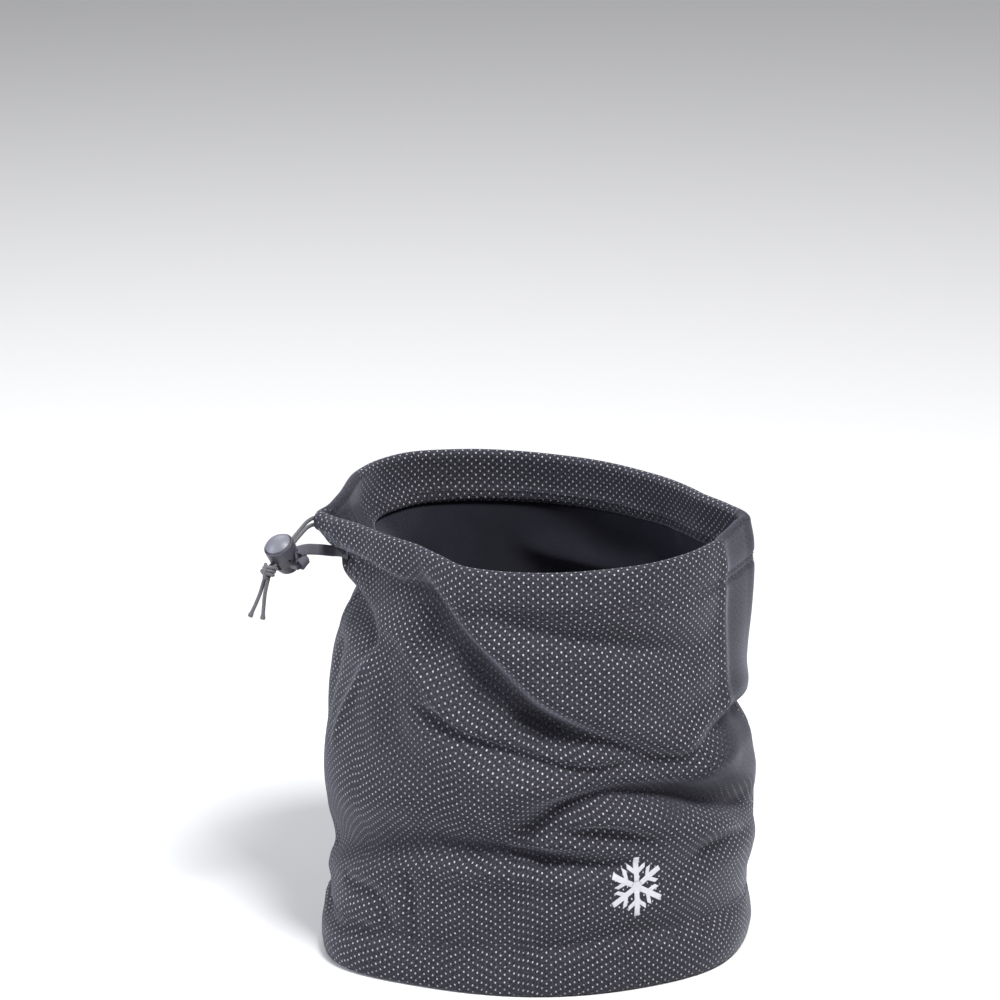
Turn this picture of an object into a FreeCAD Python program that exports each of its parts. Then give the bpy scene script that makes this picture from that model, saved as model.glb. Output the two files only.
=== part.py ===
"""Neck gaiter with a drawcord and a cord lock, as separate sewn and moulded pieces. Millimetres, +Z up.

The origin is the centre of the tube at the level of its bottom hem. The front panel faces -Y, and the
drawcord comes out of the side seam at -X. The cord lock has a frame of its own: its X runs along the cords
through it, away from the tube, and its Z is the way its button rises.
"""
import FreeCAD, Part
import math
import os

import Sketcher

Vector = FreeCAD.Vector
DOC = FreeCAD.newDocument("neck_gaiter")
SHEET = DOC.addObject("Spreadsheet::Sheet", "Sizes")

SIZES = (
    # the fabric tube
    ("tube_radius", 82.0),  # outer face of the shell
    ("tube_height", 174.0),
    ("shell_thick", 1.4),
    ("fold_gap", 2.0),  # between the shell and its turned-in edge
    ("casing_depth", 20.0),  # turned-in edge that holds the drawcord
    ("hem_depth", 22.0),
    ("lining_thick", 1.5),
    ("lining_lap", 5.0),  # lining tucked under each turned-in edge
    ("seam_half_turn", 1.8),  # degrees that a side seam's threads reach each way
    # sewing thread
    ("thread_wide", 0.4),
    ("thread_proud", 0.2),
    ("row_offset", 1.6),  # first row of stitches from the turned edge
    ("row_spacing", 2.4),
    # drawcord
    ("cord_radius", 0.8),
    ("cord_level", 168.0),
    ("cord_pitch", 1.9),  # between the two strands side by side
    ("cord_lead", 12.0),  # where the strands leave the ring, from the seam
    ("slit_half", 7.5),  # half the length of the slit in the seam
    ("slit_low", 166.8),
    ("slit_high", 170.4),
    # cord lock, in its own frame
    ("lock_radius", 6.1),
    ("lock_base_radius", 4.4),
    ("lock_base", 6.5),  # below the lock's centre
    ("lock_waist", 2.0),  # where the wall becomes straight, below the centre
    ("lock_rim", 6.2),
    ("chamber_radius", 4.3),
    ("chamber_floor", 5.2),
    ("collar_radius", 5.5),
    ("collar_floor", 3.8),
    ("strand_level", 1.2),
    ("slot_half", 2.1),
    ("grip_gap", 0.15),  # between a cord and the edge that grips it
    ("housing_slot_low", 1.8),
    ("plunger_slot_high", 4.2),
    ("stem_radius", 4.23),
    ("stem_foot", 1.6),
    ("head_radius", 5.25),
    ("head_bottom", 5.9),
    ("head_edge", 6.9),
    ("head_top", 9.1),
    ("spring_radius", 2.6),
    ("spring_wire", 0.2),
    ("spring_turns", 3.0),
    ("dimple_radius", 0.7),
    ("dimple_depth", 0.8),
    ("dimple_turn", 65.0),
    # loop on the lock's side for the tether tape
    ("lug_reach", 10.0),
    ("lug_half", 3.5),
    ("lug_nose", 6.0),
    ("lug_low", 2.6),
    ("lug_thick", 2.2),
    ("window_half", 2.6),
    ("window_start", 7.6),
    ("bar_thick", 1.1),
    # knot
    ("knot_radius", 3.4),
    ("knot_face", 2.7),  # flat where cords meet the knot, from its centre
    ("knot_along", 10.3),  # knot's centre from the lock's, along the cords
    ("split_along", -4.0),  # where the moving cord ends start, inside the lock
    # tether tape and its tack
    ("tape_thick", 0.6),
    ("tape_half", 2.3),
    ("tape_room", 0.15),
    # printed mark
    ("mark_level", 42.0),
    ("mark_size", 24.0),
    ("mark_bar", 2.2),
    ("mark_turn", 28.0),  # degrees from the front's middle, towards +X
)

LOCK_CENTRE = Vector(-99.7, -7.0, 157.05)
CORD_WAY = Vector(-0.55, -0.6254, -0.5487)
BUTTON_WAY = Vector(-0.372, -0.4054, 0.835)
TAIL_WAY = Vector(-0.25, 0.05, -0.967)

# each strand's route from the ring to where it turns into the lock's line
FRONT_ROUTE = (Vector(-85.0, -0.2, 168.0), Vector(-89.3, 0.9, 167.4), Vector(-92.3, 0.0, 165.2))
BACK_ROUTE = (Vector(-85.0, 3.4, 170.2), Vector(-89.9, 3.2, 169.2), Vector(-93.7, 1.27, 165.2))
FRONT_TAIL = (Vector(-107.05, -14.2, 144.8), Vector(-107.7, -13.6, 138.8), Vector(-108.2, -13.9, 132.8))
BACK_TAIL = (Vector(-108.4, -12.95, 145.2), Vector(-110.5, -12.6, 139.5), Vector(-113.3, -13.0, 133.6))


class Size:
    """A number with the sheet's expression for it, so that geometry and its binding are written once."""

    def __init__(self, value, text):
        self.value = value
        self.text = text

    @staticmethod
    def of(other):
        return other if isinstance(other, Size) else Size(float(other), f"{float(other):.6f}")

    def joined(self, sign, other, value):
        return Size(value, f"({self.text} {sign} {Size.of(other).text})")

    def __add__(self, other):
        return self.joined("+", other, self.value + Size.of(other).value)

    def __sub__(self, other):
        return self.joined("-", other, self.value - Size.of(other).value)

    def __mul__(self, other):
        return self.joined("*", other, self.value * Size.of(other).value)

    def __truediv__(self, other):
        return self.joined("/", other, self.value / Size.of(other).value)


def fill_sheet():
    """Writes the driving dimensions to the sheet and returns them as Size values by name."""
    for row, (name, value) in enumerate(SIZES, start=1):
        SHEET.set(f"A{row}", name)
        SHEET.set(f"B{row}", str(value))
        SHEET.setAlias(f"B{row}", name)
    DOC.recompute()
    return {name: Size(float(SHEET.get(name)), f"Sizes.{name}") for name, _ in SIZES}


D = fill_sheet()
ZERO = Size.of(0)
SHELL_INNER = D["tube_radius"] - D["shell_thick"]
FACING_OUTER = SHELL_INNER - D["fold_gap"]
BORE_RADIUS = FACING_OUTER - D["shell_thick"]
CORD_RING = (SHELL_INNER + FACING_OUTER) / 2
LINING_OUTER = FACING_OUTER + D["lining_thick"]
ROLL_LEVEL = D["tube_height"] - (D["tube_radius"] - BORE_RADIUS) / 2
CASING_EDGE = D["tube_height"] - D["casing_depth"]
GRIP_TOP = D["strand_level"] + D["cord_radius"] + D["grip_gap"]
GRIP_FOOT = D["strand_level"] - D["cord_radius"] - D["grip_gap"]
SUBPARTS = []


def unit(vector):
    return Vector(vector).normalize()


U = unit(CORD_WAY)
W = unit(BUTTON_WAY - U * BUTTON_WAY.dot(U))
V = W.cross(U)
LOCK = FreeCAD.Placement(LOCK_CENTRE, FreeCAD.Rotation(U, V, W, "XZY"))


def in_lock(x, y, z):
    """A point of the lock's own frame, in the object's frame."""
    return LOCK.multVec(Vector(x, y, z))


def bind(obj, **sizes):
    """Binds properties to the sheet."""
    for name, size in sizes.items():
        obj.setExpression(name, Size.of(size).text)
    return obj


def bind_place(obj, **offsets):
    for axis, size in offsets.items():
        obj.setExpression(f"Placement.Base.{axis}", Size.of(size).text)
    return obj


def add(kind, name, **sizes):
    return bind(DOC.addObject(kind, name), **sizes)


def boolean(kind, name, base, tool):
    obj = DOC.addObject(kind, name)
    obj.Base = base
    obj.Tool = tool
    return obj


def keep(obj, label, placement=None):
    """Names a finished sub-part, puts it in place and lists it for export."""
    obj.Label = label
    if placement is not None:
        obj.Placement = placement
    SUBPARTS.append(obj)
    return obj


def origin_plane(body, role):
    return next(feature for feature in body.Origin.OriginFeatures if feature.Role == role)


def profile(body, name, corners, half_circles=()):
    """A closed sketch on the body's XZ plane, bound to the sheet; half_circles are sides bulging upwards."""
    sketch = body.newObject("Sketcher::SketchObject", name)
    sketch.AttachmentSupport = (origin_plane(body, "XZ_Plane"), [""])
    sketch.MapMode = "FlatFace"
    points = [Vector(x.value, z.value, 0) for x, z in corners]
    sides = len(points)
    heads = []
    for i, start in enumerate(points):
        end = points[(i + 1) % sides]
        forward = i not in half_circles or start.x > end.x
        heads.append((1, 2) if forward else (2, 1))
        if i in half_circles:
            top = (start + end) / 2 + Vector(0, start.distanceToPoint(end) / 2, 0)
            right, left = (start, end) if forward else (end, start)
            sketch.addGeometry(Part.Arc(right, top, left))
        else:
            sketch.addGeometry(Part.LineSegment(start, end))
    for i in range(sides):
        after = (i + 1) % sides
        sketch.addConstraint(Sketcher.Constraint("Coincident", i, heads[i][1], after, heads[after][0]))
    for i, (x, z) in enumerate(corners):
        fix(sketch, "DistanceX", i, heads[i][0], x)
        fix(sketch, "DistanceY", i, heads[i][0], z)
        if i in half_circles:
            fix(sketch, "DistanceY", i, 3, z)
    return sketch


def fix(sketch, kind, side, end, size):
    number = sketch.addConstraint(Sketcher.Constraint(kind, -1, 1, side, end, size.value))
    sketch.setExpression(f"Constraints[{number}]", size.text)


def revolved(name, corners, half_circles=(), angle=360.0, reverse=False):
    """A body made by turning a profile around the body's Z axis."""
    body = DOC.addObject("PartDesign::Body", name)
    sketch = profile(body, name + "_profile", corners, half_circles)
    turn = body.newObject("PartDesign::Revolution", name + "_turn")
    turn.Profile = sketch
    turn.ReferenceAxis = (sketch, ["V_Axis"])
    turn.Angle = angle
    turn.Reversed = reverse
    sketch.Visibility = False
    return body


def box(name, low, high):
    """A box between two corners, bound to the sheet."""
    sides = [high[i] - low[i] for i in range(3)]
    obj = add("Part::Box", name, Length=sides[0], Width=sides[1], Height=sides[2])
    return bind_place(obj, x=low[0], y=low[1], z=low[2])


def negative(size):
    return ZERO - size


# ---------------------------------------------------------------- fabric tube

def panel_profile():
    """Shell with its edges turned in: the casing rolls over the top, the hem folds flat at the bottom."""
    outer = D["tube_radius"]
    fold = D["shell_thick"]
    return (
        (outer, ZERO),
        (outer, ROLL_LEVEL),
        (BORE_RADIUS, ROLL_LEVEL),
        (BORE_RADIUS, CASING_EDGE),
        (FACING_OUTER, CASING_EDGE),
        (FACING_OUTER, ROLL_LEVEL),
        (SHELL_INNER, ROLL_LEVEL),
        (SHELL_INNER, fold),
        (FACING_OUTER, fold),
        (FACING_OUTER, D["hem_depth"]),
        (BORE_RADIUS, D["hem_depth"]),
        (BORE_RADIUS, ZERO),
    )


def make_panels():
    slit = box(
        "cord_slit",
        (negative(D["tube_radius"] + 2), negative(D["slit_half"]), D["slit_low"]),
        (negative(CORD_RING - 0.3), D["slit_half"], D["slit_high"]),
    )
    for label, reverse in (("front_panel", True), ("back_panel", False)):
        body = revolved(label + "_cloth", panel_profile(), (1, 5), 180.0, reverse)
        keep(boolean("Part::Cut", label, body, slit), label)


def make_lining():
    low = D["hem_depth"] - D["lining_lap"]
    high = CASING_EDGE + D["lining_lap"]
    corners = ((FACING_OUTER, low), (LINING_OUTER, low), (LINING_OUTER, high), (FACING_OUTER, high))
    keep(revolved("lining", corners), "lining")


def band(name, inner, outer, low, height):
    """A plain ring around the Z axis."""
    solid = bind_place(add("Part::Cylinder", name + "_outer", Radius=outer, Height=height), z=low)
    hollow = bind_place(add("Part::Cylinder", name + "_inner", Radius=inner, Height=height + 2), z=low - 1)
    return boolean("Part::Cut", name, solid, hollow)


def stitch_row(label, level):
    """One row of stitches: needle thread on the outside and bobbin thread on the inside."""
    proud = D["thread_proud"]
    outside = band(label + "_needle", D["tube_radius"], D["tube_radius"] + proud, level, D["thread_wide"])
    inside = band(label + "_bobbin", BORE_RADIUS - proud, BORE_RADIUS, level, D["thread_wide"])
    row = DOC.addObject("Part::MultiFuse", label)
    row.Shapes = [outside, inside]
    keep(row, label)


def make_stitching():
    stitch_row("lower_casing_stitching", CASING_EDGE + D["row_offset"])
    stitch_row("upper_casing_stitching", CASING_EDGE + D["row_offset"] + D["row_spacing"])
    stitch_row("upper_hem_stitching", D["hem_depth"] - D["row_offset"])
    stitch_row("lower_hem_stitching", D["hem_depth"] - D["row_offset"] - D["row_spacing"])


def make_side_seams():
    """Overlocked threads that join the panels, between the shell and the lining."""
    corners = (
        (LINING_OUTER, D["hem_depth"]),
        (SHELL_INNER, D["hem_depth"]),
        (SHELL_INNER, CASING_EDGE),
        (LINING_OUTER, CASING_EDGE),
    )
    for label, way in (("right_side_seam", 0.0), ("left_side_seam", 180.0)):
        body = revolved(label, corners, angle=2 * D["seam_half_turn"].value)
        turn = body.Tip
        turn.setExpression("Angle", (D["seam_half_turn"] * 2).text)
        turn.Midplane = True
        keep(body, label, FreeCAD.Placement(Vector(), FreeCAD.Rotation(Vector(0, 0, 1), way)))


def make_mark():
    """A plain six-armed star, printed on the front panel."""
    skin = band(
        "mark_skin",
        D["tube_radius"],
        D["tube_radius"] + D["thread_proud"],
        D["mark_level"] - D["mark_size"],
        D["mark_size"] * 2,
    )
    half = D["mark_size"] / 2
    arms = []
    for number, lean in enumerate((0.0, 60.0, -60.0)):
        arm = add("Part::Box", f"mark_arm_{number}", Length=D["mark_bar"], Width=20, Height=D["mark_size"])
        turn = FreeCAD.Rotation(Vector(0, 0, 1), D["mark_turn"].value)
        spin = FreeCAD.Rotation(Vector(0, 1, 0), lean)
        middle = turn.multVec(Vector(0, -D["tube_radius"].value - 8, 0)) + Vector(0, 0, D["mark_level"].value)
        corner = Vector(-D["mark_bar"].value / 2, 0, -half.value)
        arm.Placement = FreeCAD.Placement(middle, turn.multiply(spin)).multiply(
            FreeCAD.Placement(corner, FreeCAD.Rotation())
        )
        arms.append(arm)
    star = DOC.addObject("Part::MultiFuse", "mark_star")
    star.Shapes = arms
    keep(boolean("Part::Common", "printed_mark", skin, star), "printed_mark")


# ---------------------------------------------------------------- drawcord

def rounded_wire(points, least_radius):
    """Straight runs joined by tangent arcs; returns the wire and its tightest radius."""
    edges = []
    radii = []
    here = points[0]
    for i in range(1, len(points) - 1):
        before = points[i] - points[i - 1]
        after = points[i + 1] - points[i]
        half_turn = before.getAngle(after) / 2
        back = 0.45 * min(before.Length, after.Length)
        radius = back / math.tan(half_turn)
        radii.append(radius)
        start = points[i] - unit(before) * back
        end = points[i] + unit(after) * back
        inward = unit(unit(after) - unit(before))
        middle = points[i] + inward * (radius / math.cos(half_turn) - radius)
        edges.append(Part.LineSegment(here, start).toShape())
        edges.append(Part.Arc(start, middle, end).toShape())
        here = end
    edges.append(Part.LineSegment(here, points[-1]).toShape())
    if min(radii) < least_radius:
        print("tight bend", min(radii))
    return Part.Wire(edges), min(radii)


def tube(label, points):
    """A length of round cord along the points."""
    radius = D["cord_radius"].value
    wire, tightest = rounded_wire(points, 3 * 2 * radius)
    circle = Part.Circle(points[0], points[1] - points[0], radius)
    shape = Part.Wire([circle.toShape()])
    solid = wire.makePipeShell([shape], True, False)
    ratio = solid.Volume / (math.pi * radius ** 2 * wire.Length)
    print(f"{label}: length {wire.Length:.1f}, tightest bend {tightest:.2f}, volume ratio {ratio:.4f}")
    obj = DOC.addObject("Part::Feature", label)
    obj.Shape = solid
    return keep(obj, label)


def ring_end(side):
    """Where a strand leaves the ring, and a point straight on from it; side is -1 in front, +1 behind."""
    lead = D["cord_lead"].value
    ring = CORD_RING.value
    end = Vector(-math.sqrt(ring ** 2 - lead ** 2), side * lead, D["cord_level"].value)
    onward = Vector(-lead / ring, side * end.x / ring, 0)
    return end, end + onward * 6.0


def make_casing_run():
    """The cord inside the casing: all of the ring apart from a gap at the seam."""
    half_gap = math.degrees(math.asin(D["cord_lead"].value / CORD_RING.value))
    ring = add("Part::Torus", "drawcord_casing_run", Radius1=CORD_RING, Radius2=D["cord_radius"])
    ring.Angle3 = 360.0 - 2 * half_gap
    place = FreeCAD.Placement(
        Vector(0, 0, D["cord_level"].value), FreeCAD.Rotation(Vector(0, 0, 1), 180.0 + half_gap)
    )
    keep(ring, "drawcord_casing_run", place)
    print(f"drawcord_casing_run: length {math.radians(360 - 2 * half_gap) * CORD_RING.value:.1f}")


def make_strands():
    half_pitch = D["cord_pitch"].value / 2
    level = D["strand_level"].value
    split = D["split_along"].value
    for label, side, route in (("front_strand", -1, FRONT_ROUTE), ("back_strand", 1, BACK_ROUTE)):
        end, onward = ring_end(side)
        tube(label, [end, onward, *route, in_lock(split, -side * half_pitch, level)])


def cord_piece(label, side):
    """A straight end of cord from inside the lock to the knot; it moves with the knot."""
    start = D["split_along"]
    reach = D["knot_along"] - D["knot_face"] - start
    piece = add("Part::Cylinder", label, Radius=D["cord_radius"], Height=reach)
    low = in_lock(start.value, -side * D["cord_pitch"].value / 2, D["strand_level"].value)
    keep(piece, label, FreeCAD.Placement(low, FreeCAD.Rotation(Vector(0, 0, 1), U)))


def knot_centre():
    return in_lock(D["knot_along"].value, 0, D["strand_level"].value)


def flat_cutter(name, way):
    """A block that takes a flat off the knot on the side that faces the given way."""
    cutter = add("Part::Box", name, Length=12, Width=12, Height=6)
    turn = FreeCAD.Rotation(Vector(0, 0, 1), way)
    corner = FreeCAD.Placement(Vector(-6, -6, D["knot_face"].value), FreeCAD.Rotation())
    cutter.Placement = FreeCAD.Placement(knot_centre(), turn).multiply(corner)
    return cutter


def make_knot():
    ball = add("Part::Sphere", "knot_ball", Radius=D["knot_radius"])
    ball.Placement = FreeCAD.Placement(knot_centre(), FreeCAD.Rotation())
    entry = boolean("Part::Cut", "knot_entry", ball, flat_cutter("knot_entry_flat", U * -1))
    way_out = flat_cutter("knot_exit_flat", unit(TAIL_WAY))
    keep(boolean("Part::Cut", "drawcord_knot", entry, way_out), "drawcord_knot")


def make_tails():
    """The two free ends, which hang from the knot."""
    way = unit(TAIL_WAY)
    across = unit(V - way * V.dot(way)) * (D["cord_pitch"].value / 2)
    start = knot_centre() + way * D["knot_face"].value
    for label, side, route in (("front_tail", -1, FRONT_TAIL), ("back_tail", 1, BACK_TAIL)):
        first = start - across * side
        tube(label, [first, first + way * 5.0, *route[1:]])


# ---------------------------------------------------------------- cord lock

def make_housing():
    """Barrel with a chamber for the plunger, a collar, a cord slot and a loop for the tape."""
    corners = (
        (ZERO, negative(D["lock_base"])),
        (D["lock_base_radius"] - 0.6, negative(D["lock_base"])),
        (D["lock_base_radius"] - 0.1, negative(D["lock_base"]) + 0.2),
        (D["lock_base_radius"] + 0.2, negative(D["lock_base"]) + 0.6),
        (D["lock_radius"] - 0.1, negative(D["lock_waist"]) - 0.5),
        (D["lock_radius"], negative(D["lock_waist"])),
        (D["lock_radius"], D["lock_rim"] - 0.3),
        (D["lock_radius"] - 0.1, D["lock_rim"] - 0.1),
        (D["lock_radius"] - 0.3, D["lock_rim"]),
        (D["collar_radius"], D["lock_rim"]),
        (D["collar_radius"], D["collar_floor"]),
        (D["chamber_radius"], D["collar_floor"]),
        (D["chamber_radius"], negative(D["chamber_floor"])),
        (ZERO, negative(D["chamber_floor"])),
    )
    barrel = revolved("lock_barrel", corners)
    low = negative(D["lug_low"])
    high = low + D["lug_thick"]
    half = D["lug_half"]
    root = D["chamber_radius"] + 0.1
    block = box("lock_lug_block", (negative(half), root, low), (half, D["lug_reach"], high))
    nose = add("Part::Cylinder", "lock_lug_nose", Radius=D["lug_nose"], Height=D["lug_thick"])
    bind_place(nose, y=D["lug_reach"] - D["lug_nose"], z=low)
    lug = boolean("Part::Common", "lock_lug", block, nose)
    half = D["window_half"]
    window_end = D["lug_reach"] - D["bar_thick"]
    window = box("lock_window", (negative(half), D["window_start"], low - 1), (half, window_end, high + 1))
    reach = D["lock_radius"] + 2
    slot = box(
        "lock_cord_slot",
        (negative(reach), negative(D["slot_half"]), negative(D["housing_slot_low"])),
        (reach, D["slot_half"], GRIP_TOP),
    )
    dimple = add("Part::Cylinder", "lock_dimple", Radius=D["dimple_radius"], Height=4)
    way = FreeCAD.Rotation(Vector(0, 0, 1), D["dimple_turn"].value).multVec(Vector(1, 0, 0))
    inset = D["lock_radius"].value - D["dimple_depth"].value
    dimple.Placement = FreeCAD.Placement(
        way * inset + Vector(0, 0, 0.8), FreeCAD.Rotation(Vector(0, 0, 1), way)
    )
    looped = DOC.addObject("Part::MultiFuse", "lock_body")
    looped.Shapes = [barrel, lug]
    holes = DOC.addObject("Part::MultiFuse", "lock_holes")
    holes.Shapes = [window, slot, dimple]
    keep(boolean("Part::Cut", "lock_housing", looped, holes), "lock_housing", LOCK)


def make_plunger():
    """Stem with a slot that grips the cords, under a domed button."""
    corners = (
        (ZERO, negative(D["stem_foot"])),
        (D["stem_radius"], negative(D["stem_foot"])),
        (D["stem_radius"], D["head_bottom"]),
        (D["head_radius"], D["head_bottom"]),
        (D["head_radius"], D["head_edge"]),
        (ZERO, D["head_edge"]),
    )
    post = revolved("plunger_post", corners)
    rise = D["head_top"] - D["head_edge"]
    ball_radius = (D["head_radius"] * D["head_radius"] + rise * rise) / (rise * 2)
    ball = bind_place(add("Part::Sphere", "plunger_ball", Radius=ball_radius), z=D["head_top"] - ball_radius)
    block = box(
        "plunger_cap_limit",
        (negative(D["head_radius"] + 1), negative(D["head_radius"] + 1), D["head_edge"]),
        (D["head_radius"] + 1, D["head_radius"] + 1, D["head_top"] + 1),
    )
    cap = boolean("Part::Common", "plunger_cap", ball, block)
    whole = DOC.addObject("Part::MultiFuse", "plunger_whole")
    whole.Shapes = [post, cap]
    reach = D["stem_radius"] + 2
    slot = box(
        "plunger_slot",
        (negative(reach), negative(D["slot_half"]), GRIP_FOOT),
        (reach, D["slot_half"], D["plunger_slot_high"]),
    )
    keep(boolean("Part::Cut", "lock_plunger", whole, slot), "lock_plunger", LOCK)


def make_spring():
    """Compression spring between the chamber's floor and the plunger's foot."""
    low = D["chamber_floor"] * -1 + D["spring_wire"]
    high = D["stem_foot"] * -1 - D["spring_wire"]
    coil = add("Part::Helix", "spring_line", Radius=D["spring_radius"], Height=high - low)
    coil.setExpression("Pitch", ((high - low) / D["spring_turns"]).text)
    DOC.recompute()
    wire = Part.Wire(coil.Shape.Edges)
    start = wire.Vertexes[0].Point
    first = wire.Edges[0]
    circle = Part.Circle(start, first.tangentAt(first.FirstParameter), D["spring_wire"].value)
    solid = wire.makePipeShell([Part.Wire([circle.toShape()])], True, True)
    obj = DOC.addObject("Part::Feature", "lock_spring")
    obj.Shape = solid
    lift = FreeCAD.Placement(Vector(0, 0, low.value), FreeCAD.Rotation())
    keep(obj, "lock_spring", LOCK.multiply(lift))


# ---------------------------------------------------------------- tether tape

def section(centre, along, across):
    """The corners of the tape's section, square to its run."""
    along = unit(along)
    across = unit(across - along * across.dot(along))
    through = along.cross(across)
    half_wide = D["tape_half"].value
    half_thick = D["tape_thick"].value / 2
    corners = []
    for a, b in ((-1, -1), (1, -1), (1, 1), (-1, 1)):
        corners.append(centre + across * (a * half_wide) + through * (b * half_thick))
    return corners


def flat_face(*corners):
    return Part.Face(Part.makePolygon([*corners, corners[0]]))


def tape_run():
    """The tape from the lock's bar to the collar, with a half twist on the way."""
    bar = D["lug_reach"].value + D["tape_room"].value + D["tape_thick"].value / 2
    on_bar = in_lock(0, bar, -0.6)
    up = Vector(0, 0, 1)
    stations = (
        (on_bar, W, U),
        (on_bar + W * 2.2 + V * 0.6, W + V * 0.9, U),
        (Vector(-87.6, -13.2, 160.2), Vector(0.86, 0.5, 0.0), U * 0.3 - up),
        (Vector(-84.9, -10.4, 159.3), Vector(0.72, 0.65, -0.25), up * -1),
        (Vector(-82.7, -6.0, 158.0), Vector(0.16, 0.98, -0.1), up * -1),
        (Vector(-82.55, 0.6, 157.6), Vector(0.0, 1.0, 0.0), up * -1),
    )
    sections = [section(*station) for station in stations]
    faces = [flat_face(*sections[0]), flat_face(*sections[-1])]
    for here, there in zip(sections, sections[1:]):
        for i in range(4):
            j = (i + 1) % 4
            faces.append(flat_face(here[i], here[j], there[j]))
            faces.append(flat_face(here[i], there[j], there[i]))
    return Part.makeSolid(Part.makeShell(faces))


def make_tape():
    """The tape goes round the lock's bar and back onto itself."""
    room = D["tape_room"].value
    thick = D["tape_thick"].value
    low = -D["lug_low"].value - room
    high = low + D["lug_thick"].value + 2 * room
    near = D["lug_reach"].value - D["bar_thick"].value - room
    far = D["lug_reach"].value + room
    half = D["tape_half"].value
    wide = far - near
    tall = high - low
    corner = Vector(-half, near - thick, low - thick)
    outer = Part.makeBox(2 * half, wide + 2 * thick, tall + 2 * thick, corner)
    inner = Part.makeBox(2 * half, wide, tall, Vector(-half, near, low))
    loop = outer.cut(inner)
    loop.Placement = LOCK
    stitches = D["tube_radius"].value + D["thread_proud"].value
    clear = Part.makeCylinder(stitches + 0.02, 40, Vector(0, 0, 140))
    obj = DOC.addObject("Part::Feature", "tether_tape")
    obj.Shape = loop.fuse(tape_run()).cut(clear)
    keep(obj, "tether_tape")


def make_tack():
    """A bar of dense stitches that holds the tape on the collar."""
    radius = D["tube_radius"].value + D["tape_thick"].value
    block = Part.makeBox(4.0, 1.6, 5.4, Vector(-radius - 1.2, -1.8, 154.9))
    skin = Part.makeCylinder(radius + 0.6, 40, Vector(0, 0, 140))
    shape = block.common(skin).cut(Part.makeCylinder(D["tube_radius"].value, 40, Vector(0, 0, 140)))
    for label in ("lower_casing_stitching", "upper_casing_stitching", "tether_tape"):
        shape = shape.cut(DOC.getObject(label).Shape)
    obj = DOC.addObject("Part::Feature", "tether_tack")
    obj.Shape = shape
    keep(obj, "tether_tack")


# ---------------------------------------------------------------- export

def check_all():
    for obj in DOC.Objects:
        if "Invalid" in obj.State or "Error" in obj.State:
            raise SystemExit(f"{obj.Name} is in state {obj.State}")
    for obj in SUBPARTS:
        if obj.Shape.isNull() or not obj.Shape.isValid() or not obj.Shape.Solids:
            raise SystemExit(f"{obj.Label} has no valid solid")


def export_all():
    os.makedirs("parts", exist_ok=True)
    for obj in SUBPARTS:
        obj.Shape.exportStep(f"parts/{obj.Label}.step")
        b = obj.Shape.BoundBox
        print(
            f"{obj.Label}: {len(obj.Shape.Solids)} solids, {obj.Shape.Volume:.1f} mm3, "
            f"x {b.XMin:.1f}..{b.XMax:.1f}, y {b.YMin:.1f}..{b.YMax:.1f}, z {b.ZMin:.1f}..{b.ZMax:.1f}"
        )


def main():
    make_panels()
    make_lining()
    make_stitching()
    make_side_seams()
    make_mark()
    make_casing_run()
    make_strands()
    cord_piece("front_strand_end", -1)
    cord_piece("back_strand_end", 1)
    make_knot()
    make_tails()
    make_housing()
    make_plunger()
    make_spring()
    make_tape()
    make_tack()
    DOC.recompute()
    check_all()
    export_all()


main()
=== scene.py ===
"""Looks of the neck gaiter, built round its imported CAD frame.

Lengths are millimetres until a mesh is made. Angles are degrees round the tube, as the tables below say.
"""

import math

import bpy
import numpy as np
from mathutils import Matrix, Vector


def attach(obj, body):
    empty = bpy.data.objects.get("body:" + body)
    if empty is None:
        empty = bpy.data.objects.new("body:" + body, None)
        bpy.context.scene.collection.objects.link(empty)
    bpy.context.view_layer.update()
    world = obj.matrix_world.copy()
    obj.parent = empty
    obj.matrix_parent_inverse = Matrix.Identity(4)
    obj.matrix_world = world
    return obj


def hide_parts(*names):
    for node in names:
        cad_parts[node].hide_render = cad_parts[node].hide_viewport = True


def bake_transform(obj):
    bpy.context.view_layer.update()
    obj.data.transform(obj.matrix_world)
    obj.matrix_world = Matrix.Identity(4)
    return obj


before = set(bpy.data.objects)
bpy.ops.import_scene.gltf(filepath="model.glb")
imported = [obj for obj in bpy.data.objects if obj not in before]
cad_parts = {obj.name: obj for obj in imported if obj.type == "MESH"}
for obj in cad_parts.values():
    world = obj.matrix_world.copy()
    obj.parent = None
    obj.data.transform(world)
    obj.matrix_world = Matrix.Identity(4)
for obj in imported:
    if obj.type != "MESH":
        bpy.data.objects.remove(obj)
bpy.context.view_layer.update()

MM = 0.001
RADIUS = 82.0
PROUD = 0.4  # how far the outer face stands outside that radius
ROLL = 2.4  # radius of the casing's rolled edge
ROLL_LEVEL = 171.6
CASING_EDGE = 154.0
HEM_DEPTH = 22.0
HEM_CORNER = 1.4  # radius of the hem's two lower corners
FACING_DEPTH = 2 * ROLL  # how far the turned-in cloth lies behind the outer face
LINING_DEPTH = 3.3
SHELL_THICKNESS = 1.3
LINING_THICKNESS = 1.25
CORD = 0.8  # the cord's radius
CORD_OFFSET = 0.95  # each cord's distance from the line midway between the two


# ---------------------------------------------------------------- camera, floor and light

def add_camera():
    data = bpy.data.cameras.new("camera")
    data.lens = 209.6
    data.clip_end = 20
    camera = bpy.data.objects.new("camera", data)
    bpy.context.collection.objects.link(camera)
    distance = 2.3
    lift = math.radians(16)
    aim = Vector((-0.0145, 0.0, 0.1778))
    away = Vector((0, -math.cos(lift), math.sin(lift)))
    camera.location = aim + away * distance
    camera.rotation_euler = (math.radians(90) - lift, 0, 0)
    bpy.context.scene.camera = camera


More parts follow.
